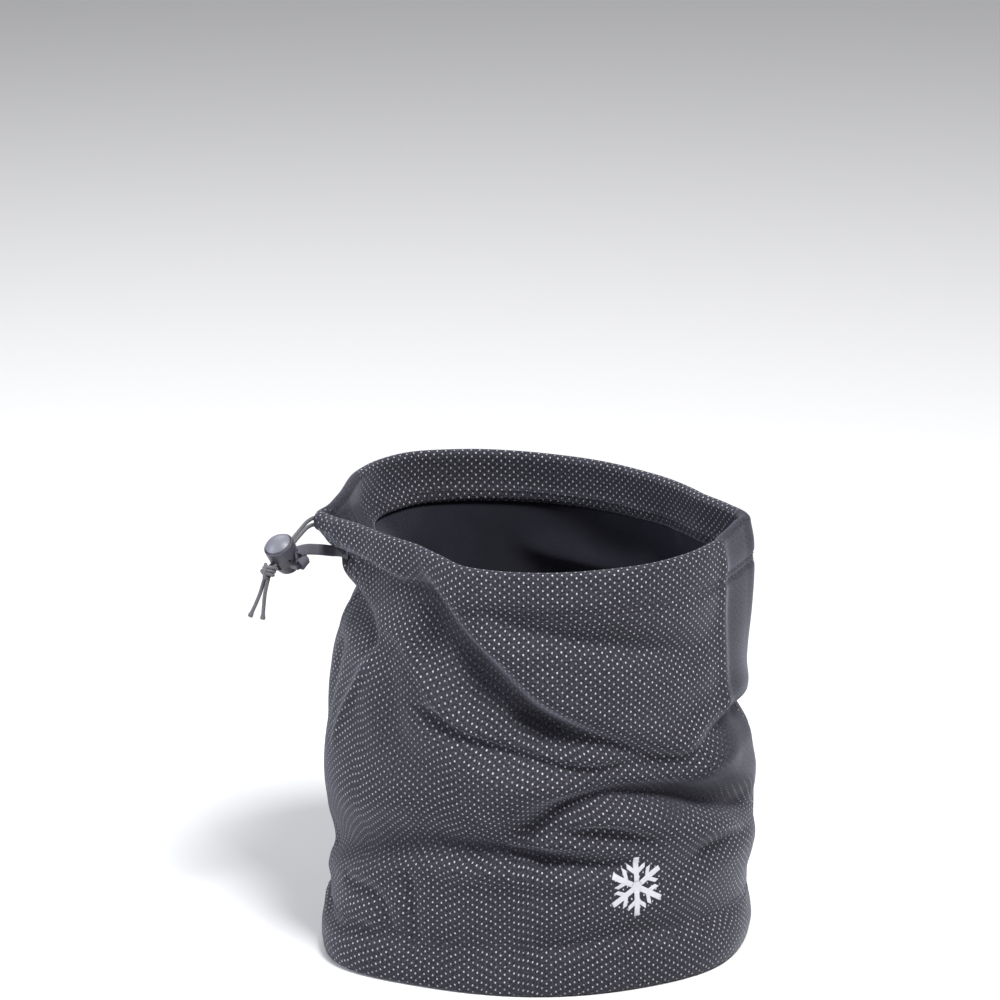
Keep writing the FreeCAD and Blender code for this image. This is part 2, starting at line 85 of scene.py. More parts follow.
def add_light(name, place, aim, size, power, colour=(1, 1, 1)):
    data = bpy.data.lights.new(name, "AREA")
    data.shape = "RECTANGLE"
    data.size, data.size_y = size
    data.energy = power
    data.color = colour
    light = bpy.data.objects.new(name, data)
    light.location = place
    light.rotation_euler = (Vector(aim) - Vector(place)).to_track_quat("-Z", "Y").to_euler()
    bpy.context.collection.objects.link(light)


def add_stage():
    mesh = bpy.data.meshes.new("floor")
    size = 9.0
    corners = [(-size, -size, 0), (size, -size, 0), (size, size, 0), (-size, size, 0)]
    mesh.from_pydata(corners, [], [(0, 1, 2, 3)])
    floor = bpy.data.objects.new("floor", mesh)
    floor.location.z = -0.0005  # just below the hem, so that the two don't flicker
    bpy.context.collection.objects.link(floor)
    look = Look("pale_floor")
    look.set(Base_Color=(0.80, 0.80, 0.80, 1), Roughness=0.75)
    mesh.materials.append(look.material)
    world = bpy.data.worlds.new("studio")
    world.use_nodes = True
    background = world.node_tree.nodes["Background"]
    background.inputs["Color"].default_value = (0.96, 0.96, 1.0, 1)
    background.inputs["Strength"].default_value = 0.24
    bpy.context.scene.world = world
    bpy.context.scene.view_settings.view_transform = "Standard"
    middle = (0, 0, 0.1)
    add_light("key_top_right", (0.50, -0.78, 1.6), middle, (0.55, 0.55), 46)
    add_light("side_left", (-1.4, -0.35, 0.6), middle, (0.6, 0.8), 16, (0.88, 0.92, 1.0))
    add_light("side_right", (1.4, 0.25, 0.6), middle, (0.5, 0.8), 1.0, (0.92, 0.94, 1.0))
    add_light("top_back", (-0.3, 0.9, 1.3), (0, 0, 0.12), (0.9, 0.6), 8)


# ---------------------------------------------------------------- materials

class Look:
    """A new material, with short ways to add nodes to it and join them."""

    def __init__(self, name):
        self.material = bpy.data.materials.new(name)
        self.material.use_nodes = True
        self.nodes = self.material.node_tree.nodes
        self.links = self.material.node_tree.links
        self.shader = self.nodes["Principled BSDF"]

    def set(self, **values):
        """Constants on the shader's own sockets; an underscore stands for a space."""
        for name, value in values.items():
            self.shader.inputs[name.replace("_", " ")].default_value = value

    def colour(self, value):
        self.links.new(value, self.shader.inputs["Base Color"])

    def feed(self, socket, value):
        """Gives a socket a constant, or links another node's output to it."""
        if isinstance(value, (int, float, tuple)):
            socket.default_value = value
        else:
            self.links.new(value, socket)

    def calc(self, kind, *values):
        """A Math node; the values are sockets or numbers. Returns its output."""
        node = self.nodes.new("ShaderNodeMath")
        node.operation = kind
        for socket, value in zip(node.inputs, values):
            self.feed(socket, value)
        return node.outputs[0]

    def mix(self, share, first, second):
        node = self.nodes.new("ShaderNodeMix")
        node.data_type = "RGBA"
        for slot, value in ((0, share), (6, first), (7, second)):
            self.feed(node.inputs[slot], value)
        return node.outputs[2]

    def noise(self, vector, scale, detail=3.0):
        node = self.nodes.new("ShaderNodeTexNoise")
        node.inputs["Scale"].default_value = scale
        node.inputs["Detail"].default_value = detail
        self.links.new(vector, node.inputs["Vector"])
        return node.outputs[0]

    def bump(self, height, strength, distance):
        node = self.nodes.new("ShaderNodeBump")
        node.inputs["Strength"].default_value = strength
        node.inputs["Distance"].default_value = distance
        self.links.new(height, node.inputs["Height"])
        self.links.new(node.outputs[0], self.shader.inputs["Normal"])

    def cloth(self):
        """The cloth's UV map in millimetres: the whole vector, then its parts across and along."""
        node = self.nodes.new("ShaderNodeUVMap")
        node.uv_map = "cloth"
        split = self.nodes.new("ShaderNodeSeparateXYZ")
        self.links.new(node.outputs[0], split.inputs[0])
        return node.outputs[0], split.outputs[0], split.outputs[1]

    def place(self):
        """Places in the object's own frame, in metres."""
        return self.nodes.new("ShaderNodeTexCoord").outputs["Object"]


def knit_height(look, across, along, pitch):
    """Fine stocking stitch: small V shapes, in columns of the given pitch in millimetres."""
    column = look.calc("PINGPONG", look.calc("MULTIPLY", across, 1 / pitch), 0.5)
    lean = look.calc("MULTIPLY", column, 0.9)
    row = look.calc("ADD", look.calc("MULTIPLY", along, 1.25 / pitch), lean)
    wave = look.calc("SINE", look.calc("MULTIPLY", row, math.tau))
    return look.calc("ADD", look.calc("MULTIPLY", wave, 0.5), column)


DOT_PITCH = (3.6, 3.05)
DOT_HALF = (0.33, 0.42)


def dot_lattice(look, across, along):
    """Staggered small dots in rows: 1 on a dot and 0 between, with soft edges and uneven brightness."""
    found = []
    for shift in (0.0, 0.5):
        squares = []
        cells = []
        for part, pitch, half in zip((across, along), DOT_PITCH, DOT_HALF):
            place = look.calc("MULTIPLY_ADD", part, 1 / pitch, shift)
            cells.append(look.calc("FLOOR", place))
            off = look.calc("SUBTRACT", look.calc("FRACT", place), 0.5)
            off = look.calc("MULTIPLY", off, pitch / half)
            squares.append(look.calc("MULTIPLY", off, off))
        edge = look.nodes.new("ShaderNodeMapRange")
        edge.interpolation_type = "SMOOTHSTEP"
        edge.inputs["From Min"].default_value = 1.35
        edge.inputs["From Max"].default_value = 0.35
        look.links.new(look.calc("ADD", *squares), edge.inputs["Value"])
        both = look.nodes.new("ShaderNodeCombineXYZ")
        for socket, value in zip(both.inputs, (*cells, shift)):
            look.feed(socket, value)
        dice = look.nodes.new("ShaderNodeTexWhiteNoise")
        dice.noise_dimensions = "3D"
        look.links.new(both.outputs[0], dice.inputs["Vector"])
        level = look.calc("MULTIPLY_ADD", dice.outputs["Value"], 0.5, 0.5)
        found.append(look.calc("MULTIPLY", edge.outputs[0], level))
    return look.calc("MAXIMUM", *found)


def shell_material():
    """Dark charcoal bonded knit with a fine lattice of light dots."""
    look = Look("dotted_shell_knit")
    vector, across, along = look.cloth()
    dots = dot_lattice(look, across, along)
    # Painted light and shade: this attribute fades the dots in the folds' shade and under a painted sheen.
    strength = look.nodes.new("ShaderNodeAttribute")
    strength.attribute_name = "dot_strength_painted_light"
    dots = look.calc("MULTIPLY", dots, strength.outputs["Fac"])
    cloud = look.noise(vector, 0.035)
    fuzz = look.noise(vector, 2.2, 2.0)
    grain = look.noise(vector, 1.1, 2.0)
    share = look.calc("MULTIPLY_ADD", cloud, 0.5, look.calc("MULTIPLY", fuzz, 0.5))
    share = look.calc("MULTIPLY_ADD", grain, 3.0, look.calc("SUBTRACT", share, 1.5))
    ground = look.mix(share, (0.0060, 0.0059, 0.0085, 1), (0.040, 0.039, 0.054, 1))
    look.colour(look.mix(dots, ground, (0.50, 0.50, 0.53, 1)))
    look.set(Roughness=0.82, Specular_IOR_Level=0.25)
    look.set(Sheen_Weight=0.20, Sheen_Roughness=0.40, Sheen_Tint=(0.78, 0.80, 0.95, 1))
    knit = knit_height(look, across, along, 0.6)
    height = look.calc("MULTIPLY_ADD", dots, 0.8, look.calc("MULTIPLY", knit, 0.5))
    look.bump(height, 0.35, 0.0002)
    return look.material


def lining_material():
    """Plain dark knit with a brushed face."""
    look = Look("brushed_lining")
    vector = look.cloth()[0]
    cloud = look.noise(vector, 0.06, 4.0)
    look.colour(look.mix(cloud, (0.008, 0.008, 0.013, 1), (0.020, 0.020, 0.028, 1)))
    look.set(Roughness=0.95, Specular_IOR_Level=0.1, Sheen_Weight=0.2, Sheen_Tint=(0.7, 0.72, 0.9, 1))
    look.bump(look.noise(vector, 1.6, 5.0), 0.6, 0.0006)
    return look.material


def thread_material(name, dark, light, pitch):
    """Twisted yarn: fine slanting plies along a thread, cord or tape."""
    look = Look(name)
    vector, across, along = look.cloth()
    ply = look.calc("PINGPONG", look.calc("MULTIPLY_ADD", along, 1 / pitch, across), 0.5)
    grain = look.noise(vector, 3.0)
    share = look.calc("MULTIPLY_ADD", ply, 1.1, look.calc("MULTIPLY", grain, 0.45))
    look.colour(look.mix(share, dark, light))
    look.set(Roughness=0.75, Specular_IOR_Level=0.25)
    look.bump(ply, 0.5, 0.0001)
    return look.material


BRAID = (4.0, 1.9)  # the braid's diamonds round the cord, and the length of one in millimetres


def braid_material(name, dark, light):
    """Diamond braid round a cord: across goes once round it, and along is millimetres."""
    look = Look(name)
    vector, across, along = look.cloth()
    turns = look.calc("MULTIPLY", across, BRAID[0])
    run = look.calc("MULTIPLY", along, 1 / BRAID[1])
    strands = [look.calc("PINGPONG", look.calc(kind, turns, run), 0.5) for kind in ("ADD", "SUBTRACT")]
    height = look.calc("MAXIMUM", *strands)
    grain = look.noise(vector, 4.0, 2.0)
    share = look.calc("MULTIPLY_ADD", height, 1.5, look.calc("MULTIPLY", grain, 0.3))
    look.colour(look.mix(share, dark, light))
    look.set(Roughness=0.6, Sheen_Weight=0.25)
    look.bump(height, 0.6, 0.00015)
    return look.material


def plastic_material(name, dark, light):
    """Moulded plastic with fine spark-eroded grain and slightly rubbed high spots."""
    look = Look(name)
    place = look.place()
    look.colour(look.mix(look.noise(place, 180.0), dark, light))
    rough = look.nodes.new("ShaderNodeMapRange")
    rough.inputs["To Min"].default_value = 0.34
    rough.inputs["To Max"].default_value = 0.52
    look.links.new(look.noise(place, 420.0, 2.0), rough.inputs["Value"])
    look.links.new(rough.outputs[0], look.shader.inputs["Roughness"])
    look.bump(look.noise(place, 3200.0, 2.0), 0.15, 0.00003)
    return look.material


def print_material():
    """Light grey reflective transfer: fine glass-bead grain, slightly worn."""
    look = Look("reflective_print")
    vector = look.cloth()[0]
    beads = look.noise(vector, 5.0, 2.0)
    wear = look.noise(vector, 0.4, 4.0)
    share = look.calc("MULTIPLY_ADD", beads, 0.5, look.calc("MULTIPLY", wear, 0.5))
    look.colour(look.mix(share, (0.42, 0.42, 0.46, 1), (0.62, 0.62, 0.67, 1)))
    look.set(Roughness=0.42, Specular_IOR_Level=0.6)
    look.bump(beads, 0.3, 0.0001)
    return look.material


def steel_material():
    look = Look("spring_steel")
    grain = look.noise(look.place(), 900.0, 2.0)
    look.colour(look.mix(grain, (0.5, 0.5, 0.52, 1), (0.68, 0.68, 0.7, 1)))
    look.set(Metallic=1.0, Roughness=0.3)
    return look.material


# ---------------------------------------------------------------- smooth curves through given values

def smooth(table, x):
    """A smooth curve through (place, value) pairs, level beyond its ends."""
    xs = np.array([p[0] for p in table], float)
    ys = np.array([p[1] for p in table], float)
    step = np.diff(xs)
    rise = np.diff(ys) / step
    slope = np.zeros_like(ys)
    same = rise[:-1] * rise[1:] > 0
    weight = (2 * step[1:] + step[:-1], step[1:] + 2 * step[:-1])
    with np.errstate(divide="ignore", invalid="ignore"):
        mean = (weight[0] + weight[1]) / (weight[0] / rise[:-1] + weight[1] / rise[1:])
    slope[1:-1] = np.where(same, mean, 0.0)
    x = np.clip(np.asarray(x, float), xs[0], xs[-1])
    i = np.clip(np.searchsorted(xs, x, side="right") - 1, 0, len(xs) - 2)
    t = (x - xs[i]) / step[i]
    h00 = (1 + 2 * t) * (1 - t) ** 2
    h10 = t * (1 - t) ** 2
    h01 = t * t * (3 - 2 * t)
    h11 = t * t * (t - 1)
    return h00 * ys[i] + h10 * step[i] * slope[i] + h01 * ys[i + 1] + h11 * step[i] * slope[i + 1]


def ease(low, high, x):
    t = np.clip((np.asarray(x, float) - low) / (high - low), 0, 1)
    return t * t * (3 - 2 * t)


def bell(x, width):
    return np.exp(-((np.asarray(x, float) / width) ** 2))


# Angles go round from -90 (the drawcord's seam, -X) through 0 (front, -Y) and 90 (+X) to 180 (back) and
# 270, which is the seam again. RIM_PLAN is the rim's radius and RIM_LIFT its rise, by angle. LEFT_LINE and
# RIGHT_LINE are the radius at the two sides, by height.
RIM_PLAN = (
    (-90, 87.8), (-84, 83.6), (-81, 81.8), (-75, 78.2), (-62, 73.8), (-47, 72.8), (-33, 75.5),
    (-22, 80.5), (-10, 82.2), (0, 82.8), (17, 84.0), (32, 84.8), (46, 83.8), (58, 82.0), (68, 80.4),
    (78, 81.6), (84, 83.8), (88, 82.4), (96, 77.0), (112, 71.0), (137, 70.5), (163, 74.5), (187, 79.5),
    (206, 84.0), (218, 86.2), (229, 85.5), (241, 83.0), (255, 80.4), (261, 81.8), (265, 83.6),
    (270, 87.8),
)
RIM_LIFT = (
    (-90, -0.6), (-70, 1.0), (-45, 1.4), (-32, 0.4), (-20, -1.6), (0, -2.0), (20, -1.4), (45, -1.0),
    (70, -0.6), (84, 0.4), (110, 0.0), (140, 0.6), (170, 1.6), (200, 3.6), (225, 5.0), (242, 5.0),
    (254, 3.2), (264, 0.6), (270, -0.6),
)
LEFT_LINE = (
    (0, 84.4), (10, 83.8), (18, 82.6), (27, 81.2), (36, 80.9), (44, 81.3), (53, 82.7), (61, 83.4),
    (78, 84.1), (90, 83.5), (103, 82.7), (112, 81.8), (120, 80.5), (128, 78.2), (137, 75.0), (142, 73.4),
    (147, 74.6), (151, 77.0), (155, 79.8), (158.5, 82.4), (163, 83.4), (166, 85.4), (168.5, 87.6),
    (174, 87.8),
)
RIGHT_LINE = (
    (0, 85.2), (10, 86.0), (19, 85.0), (27, 84.6), (36, 86.3), (44, 87.0), (61, 87.2), (70, 86.5),
    (78, 85.2), (86, 83.0), (92, 80.2), (95.5, 79.2), (99, 80.6), (103, 82.4), (112, 83.5), (120, 84.2),
    (136, 85.5), (153, 85.8), (162, 85.2), (174, 84.0),
)
RIGHT_RIM = 83.4  # the radius that RIGHT_LINE's upper end is measured against

# Each fold: its line as (angle, height) points, how deep its valley is, how far the valley reaches above and
# below the line, then how far the cloth swells out above it and at what distance, and the same below it. A
# negative depth makes a ridge.
FOLDS = (
    # the long diagonal from the drawcord's exit to the middle of the front
    (((-50, 184), (-40, 169), (-35, 159), (-29, 149.6), (-21, 141.6), (-13.4, 131), (-7.6, 123),
      (-1.6, 115.6), (4, 109.6), (11, 104), (19, 99)), 8.8, (5.8, 12.5), 2.4, 12, 1.6, 27),
    (((-8, 117), (3, 110), (12, 105), (24, 99.2), (36, 93.6), (52, 88)),
     7.0, (4.6, 5.4), 2.2, 11, 0.0, 12),
    # the narrow smile under its end
    (((-40, 117), (-29.5, 112.2), (-17, 104.5), (-6, 98.6), (6, 94.2), (19.6, 92.0), (34, 91.4),
      (56, 94)), 4.8, (2.6, 3.6), 0.5, 6, 2.8, 9),
    # under the casing
    (((-30, 154), (-14, 153), (2, 148), (16.6, 142.8), (31, 137.6), (45, 134.6), (60, 137)),
     4.8, (7.0, 4.2), 1.4, 15, 2.0, 10),
    (((-10, 140), (10, 135), (28, 129), (44, 127), (58, 130)), 1.6, (5.0, 5.0), 0.4, 9, 0.8, 9),
    (((-94, 157), (-82, 158), (-64, 157.5), (-48, 156.5), (-34, 158)), 5.0, (3.6, 5.0), 0.8, 8, 1.6, 12),
    # the crease from the left waist, and the soft hollows and ridges of the same fan
    (((-98, 142), (-84, 141.5), (-74, 139), (-64, 136), (-56, 131), (-52, 124)),
     3.4, (4.6, 4.6), 1.2, 8, 1.6, 9),
    (((-62, 143), (-45, 140), (-35, 130), (-27, 118), (-20, 109.5), (-8, 104)),
     -3.2, (2.6, 3.2), 0.0, 9, 0.0, 9),
    (((-53, 136), (-56, 124), (-60, 112), (-66, 98), (-72, 84)), -2.2, (2.6, 2.6), 0.0, 9, 0.0, 9),
    (((-54, 136), (-49, 130), (-44, 119), (-41, 105), (-38, 88)), 1.3, (6.0, 6.0), 0.8, 12, 1.2, 12),
    (((-78, 128), (-76, 114), (-80, 98), (-86, 84)), 1.8, (5.0, 5.0), 0.6, 9, 0.8, 9),
    # the long level fold low on the left
    (((-91, 35), (-83, 38), (-74, 41), (-62, 45), (-50, 50.5), (-40, 54.2), (-24, 58.4), (-10, 57.6),
      (3, 54.7), (19, 53), (30, 53.4)), 5.4, (13.0, 3.0), 3.0, 26, 2.2, 7),
    (((-30, 57.4), (-14, 57.4), (3, 54), (19, 51.6), (32, 51)), 3.0, (3.4, 2.6), 0.0, 9, 1.0, 6),
    # the deep fold low on the right, and the tongue inside it
    (((-4, 62), (-1, 68.4), (8.6, 77.6), (20, 79.6), (35, 76.4), (54, 67.4), (70, 59.6), (82, 55),
      (92, 51)), 9.4, (8.5, 3.2), 4.2, 17, 2.8, 8),
    (((0, 69), (9, 68.6), (18, 67.2), (27, 63), (36, 58)), 3.0, (2.6, 3.6), 0.8, 6, 0.4, 8),
    (((-9, 61), (0, 62.6), (10, 61.4), (20, 59.4), (30, 57)), -2.2, (2.4, 2.6), 0.0, 6, 0.0, 6),
    # the notch in the right outline
    (((100, 99), (92, 96), (82, 96.5), (68, 100), (56, 97), (46, 91), (40, 84)),
     3.2, (4.0, 4.6), 1.8, 9, 2.0, 10),
    # low left and low right
    (((-96, 26), (-84, 22), (-72, 15), (-60, 15), (-49, 17.6), (-38, 15)),
     3.2, (4.6, 3.0), 1.2, 9, 0.9, 7),
    (((-62, 35), (-50, 34), (-44, 29), (-41, 18)), 2.0, (3.2, 3.2), 0.6, 7, 0.8, 7),
    (((-37, 50), (-35.6, 38), (-34.4, 24), (-34, 8)), 1.7, (2.8, 2.8), 0.5, 6, 0.5, 6),
    (((36, 41), (46, 45.7), (55, 49.5), (76, 50), (92, 47)), 2.4, (6.0, 3.4), 1.0, 12, 1.0, 8),
    (((-4, 18.4), (10, 19.6), (24, 21.6), (46, 21), (62, 19), (80, 15)),
     3.2, (6.4, 3.0), 0.8, 13, 1.0, 7),
    # the back
    (((262, 156), (248, 150), (236, 139), (226, 126), (216, 114), (204, 106)),
     6.4, (4.6, 9.0), 2.0, 12, 2.4, 20),
    (((120, 139), (136, 131), (154, 128), (172, 131), (188, 139)), 4.4, (7.0, 4.4), 2.0, 15, 1.8, 10),
    (((98, 82), (114, 75), (132, 72), (152, 74), (170, 82)), 5.4, (7.0, 4.0), 3.0, 15, 2.4, 9),
    (((182, 92), (200, 82), (220, 78), (240, 82), (258, 90)), 5.4, (7.4, 4.2), 2.6, 15, 2.4, 10),
    (((150, 46), (172, 40), (194, 40), (216, 46), (234, 54)), 5.0, (9.0, 3.6), 2.4, 19, 1.8, 8),
    (((100, 40), (116, 46), (134, 48), (150, 44)), 2.6, (6.0, 4.0), 1.6, 13, 1.0, 9),
    (((236, 30), (250, 37), (262, 38), (274, 34)), 2.6, (6.0, 4.0), 1.4, 13, 0.8, 8),
)
# Broad swells: (angle, height), half widths round and up, how far the cloth stands out.
SWELLS = (
    ((60, 92), (15, 12), 1.6),
    ((-66, 100), (14, 30), 1.2),
    ((22, 124), (24, 14), 1.4),
    ((38, 60), (22, 8), 1.4),
    ((-30, 74), (26, 12), 1.2),
    ((-24, 34), (34, 12), 0.9),
    ((200, 60), (22, 16), 1.6),
    ((140, 104), (24, 18), 1.6),
    ((228, 104), (16, 20), 1.4),
)
STITCH_ROWS = {
    "lower_casing_stitching": 155.8,
    "upper_casing_stitching": 158.2,
    "lower_hem_stitching": 18.2,
    "upper_hem_stitching": 20.6,
}


def smooth_line(points, count):
    """Evenly numbered points on a smooth line through given ones."""
    points = np.array(points, float)
    at = np.linspace(0, len(points) - 1, count)
    return np.stack([smooth(list(enumerate(column)), at) for column in points.T], axis=1)


def run_along(line):
    """How far along a line each of its points lies."""
    return np.concatenate([[0.0], np.cumsum(np.linalg.norm(np.diff(line, axis=0), axis=1))])


def unit(v):
    """A direction, or rows of them, at length one."""
    v = np.asarray(v, float)
    return v / np.linalg.norm(v, axis=-1, keepdims=True)


def fold_shift(angle, height):
    """How far the folds move the cloth outwards, at arrays of angle and height."""
    total = np.zeros(np.broadcast(angle, height).shape)
    for points, depth, (reach_up, reach_down), above, above_at, below, below_at in FOLDS:
        line = smooth_line(points, 40)
        along = np.linspace(0, 1, len(line))
        for turn in (-360.0, 0.0, 360.0):
            low, high = line[:, 0].min(), line[:, 0].max()
            near = (angle - turn > low - 40) & (angle - turn < high + 40)
            if not near.any():
                continue
            px = (np.radians(angle - turn) * RADIUS)[near]
            py = np.broadcast_to(height, total.shape)[near]
            best = np.full(px.shape, 1e9)
            side = np.zeros(px.shape)
            part = np.zeros(px.shape)
            xs, ys = np.radians(line[:, 0]) * RADIUS, line[:, 1]
            for i in range(len(line) - 1):
                dx, dy = xs[i + 1] - xs[i], ys[i + 1] - ys[i]
                t = np.clip(((px - xs[i]) * dx + (py - ys[i]) * dy) / (dx * dx + dy * dy), 0, 1)
                ex, ey = px - xs[i] - t * dx, py - ys[i] - t * dy
                away = np.hypot(ex, ey)
                closer = away < best
                best = np.where(closer, away, best)
                sign = np.sign(ey * abs(dx) - ex * dy * np.sign(dx) + 1e-9)
                side = np.where(closer, sign, side)
                part = np.where(closer, along[i] + t * (along[i + 1] - along[i]), part)
            fade = np.sin(np.pi * np.clip(part, 0, 1)) ** 0.6
            fade = fade * ease(0, 0.12, part) * (1 - ease(0.80, 1, part))
            off = side * best
            valley = -depth * np.exp(-((best / np.where(side > 0, reach_up, reach_down)) ** 1.7))
            swell = above * bell(off - above_at, 0.62 * above_at)
            swell = swell + below * bell(off + below_at, 0.62 * below_at)
            total[near] += fade * (valley + swell)
    for (a, h), (da, dh), out in SWELLS:
        for turn in (-360.0, 0.0, 360.0):
            total += out * bell(angle - turn - a, da) * bell(height - h, dh)
    return total


def ripple(angle, height):
    """Slight unevenness of cloth that has been handled."""
    rng = np.random.default_rng(7)
    total = np.zeros(np.broadcast(angle, height).shape)
    for _ in range(26):
        turns = rng.integers(2, 13)
        rate = rng.uniform(-0.16, 0.16)
        phase = rng.uniform(0, 2 * math.pi)
        size = rng.uniform(0.08, 0.3) / (1 + turns / 6)
        total += size * np.sin(np.radians(angle) * turns + height * rate + phase)
    return total


def wall(angle, height):
    """The shell's outer face at arrays of angle (degrees) and height (millimetres up the cloth)."""
    angle = np.asarray(angle, float)
    height = np.asarray(height, float)
    angle, height = np.broadcast_arrays(angle, height)
    around = (angle + 90.0) % 360.0 - 90.0
    around = np.where((around == -90.0) & (angle > 200), 270.0, around)
    top = ease(104, 170, height)
    plain = RADIUS + PROUD
    r = plain + (smooth(RIM_PLAN, around) - RADIUS) * top
    low = 1 - ease(6, 62, height)
    r += low * (8.0 * bell(around + 58, 19) + 3.2 * bell(around - 52, 18) - 3.0 * bell(around - 180, 55))
    left_gap = np.minimum(np.abs(around + 90), np.abs(around - 270))
    beak = ease(150, 168, height)
    left_width = 40 - 30 * beak
    rim_here = plain + (RIM_PLAN[0][1] - RADIUS) * top
    r += (smooth(LEFT_LINE, height) - rim_here) * np.exp(-((left_gap / left_width) ** 2))
    rim_there = plain + (RIGHT_RIM - RADIUS) * top
    r += (smooth(RIGHT_LINE, height) - rim_there) * bell(around - 88, 30)
    calm = 1 - 0.75 * ease(158, 168, height)
    steady = calm * (0.25 + 0.75 * ease(0, 22, height))
    shift = fold_shift(around, height) * steady + ripple(around, height) * (0.35 + 0.65 * steady)
    corner = bell(around - 61, 2.4) * ease(98, 112, height) * (1 - 0.5 * ease(160, 172, height))
    shift = shift + 1.3 * corner
    sway = 1.3 * np.sin(height / 9.0 + np.where(around > 180, 2.0, 0.0))
    pleats = np.sin(left_gap / 4.3 * 2 * math.pi + sway) * bell(left_gap - 9, 9)
    shift = shift + 0.32 * pleats * ease(140, 156, height) * (1 - ease(162, 169, height))
    for level in STITCH_ROWS.values():
        shift = shift - (0.75 if level > 100 else 0.45) * bell(height - level, 1.2)
    hem = 1.0 * bell(height - 5.5, 5.0) + 0.7 * bell(height - 165, 7.0)
    seams = np.minimum(bell(left_gap, 1.3) + bell(around - 90, 1.3), 1)
    r = r + shift + hem - 0.6 * seams * (1 - beak * 0.6)
    turn = np.radians(around)
    x = r * np.sin(turn)
    y = -r * np.cos(turn)
    droop = np.clip(-shift, -4, 5) * 0.27 * ease(6, 30, height) * (1 - ease(150, 166, height))
    z = height + smooth(RIM_LIFT, around) * (height / 172.0) ** 3 + droop
    return np.stack([x, y, z], axis=-1)


class Wall:
    """The shell's outer face, worked out once on a fine net and read anywhere from it."""

    def __init__(self):
        self.rate = (2.5, 1.6)  # net lines per degree and per millimetre
        reach = 7  # how many lines to each side the level direction is taken over
        angles = -90 + np.arange(901) / self.rate[0]
        heights = np.arange(281) / self.rate[1]
        self.place = wall(angles[:, None], heights[None, :])
        ring = np.concatenate([self.place[-1 - reach:-1], self.place, self.place[1:1 + reach]])
        round_way = ring[reach + 1:1 - reach] - ring[reach - 1:-1 - reach]
        wide_way = ring[2 * reach:] - ring[:-2 * reach]
        up_way = np.gradient(self.place, axis=1)
        self.face = np.cross(round_way, up_way)
        self.level = np.stack([wide_way[..., 1], -wide_way[..., 0], 0 * wide_way[..., 0]], axis=-1)

    def read(self, field, angle, height):
        angle, height = np.broadcast_arrays(np.asarray(angle, float), np.asarray(height, float))
        u = ((angle + 90) % 360) * self.rate[0]
        u = np.where((u == 0) & (angle > 200), 900, u)
        v = np.clip(height, 0, 174.9) * self.rate[1]
        i = np.clip(u.astype(int), 0, 899)
        j = np.clip(v.astype(int), 0, 279)
        fu, fv = (u - i)[..., None], (v - j)[..., None]
        low = field[i, j] * (1 - fu) + field[i + 1, j] * fu
        high = field[i, j + 1] * (1 - fu) + field[i + 1, j + 1] * fu
        return low * (1 - fv) + high * fv

    def at(self, angle, height):
        return self.read(self.place, angle, height)

    def out(self, angle, height, level=False):
        """The unit direction out of the cloth, or the level one."""
        return unit(self.read(self.level if level else self.face, angle, height))

    def above(self, angle, height, lift):
        """A place at a lift above the outer face."""
        return self.at(angle, height) + self.out(angle, height) * np.asarray(lift, float)[..., None]

    def behind(self, angle, height, depth):
        """A place at a depth behind the outer face.

        The roll's top and the hem's underside pass the net's ends.
        """
        depth = np.asarray(depth, float)[..., None]
        inside = np.clip(height, HEM_CORNER, ROLL_LEVEL)
        place = self.at(angle, inside) - self.out(angle, inside, level=True) * depth
        place[..., 2] += np.asarray(height) - inside
        return place


# ---------------------------------------------------------------- mesh tools

def make_object(name, verts, faces, uv, mat):
    """A smooth mesh object in metres from points in millimetres; uv is one pair per point."""
    mesh = bpy.data.meshes.new(name)
    mesh.from_pydata((np.asarray(verts) * MM).tolist(), [], faces)
    layer = mesh.uv_layers.new(name="cloth")
    index = np.zeros(len(mesh.loops), int)
    mesh.loops.foreach_get("vertex_index", index)
    layer.data.foreach_set("uv", np.asarray(uv, np.float32)[index].ravel())
    mesh.polygons.foreach_set("use_smooth", [True] * len(mesh.polygons))
    mesh.materials.append(mat)
    mesh.update()
    obj = bpy.data.objects.new(name, mesh)
    bpy.context.collection.objects.link(obj)
    return obj


def grid_faces(rows, cols, close_rows=False, close_cols=False):
    """Four-sided faces over a grid of points; a closed way joins its last line to its first."""
    out = []
    for i in range(rows if close_rows else rows - 1):
        for j in range(cols if close_cols else cols - 1):
            a, b = i * cols + j, i * cols + (j + 1) % cols
            c, d = ((i + 1) % rows) * cols + (j + 1) % cols, ((i + 1) % rows) * cols + j
            out.append((a, b, c, d))
    return out


def turned(face):
    """The same face seen from its other side."""
    return face[:1] + face[:0:-1]


def tube_faces(base, count, sides):
    """A closed tube's faces: count rings of points from number base on, then its two ends."""
    faces = [tuple(base + v for v in face) for face in grid_faces(count, sides, close_cols=True)]
    faces.append(tuple(base + v for v in reversed(range(sides))))
    faces.append(tuple(base + v for v in range((count - 1) * sides, count * sides)))
    return faces


def thicken(obj, thickness):
    mod = obj.modifiers.new("thickness", "SOLIDIFY")
    mod.thickness = thickness * MM
    mod.offset = -1.0
    mod.use_even_offset = False


def finish_piece(obj, body, nodes=()):
    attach(obj, body)
    if nodes:
        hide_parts(*nodes)
    return obj


# ---------------------------------------------------------------- the gaiter

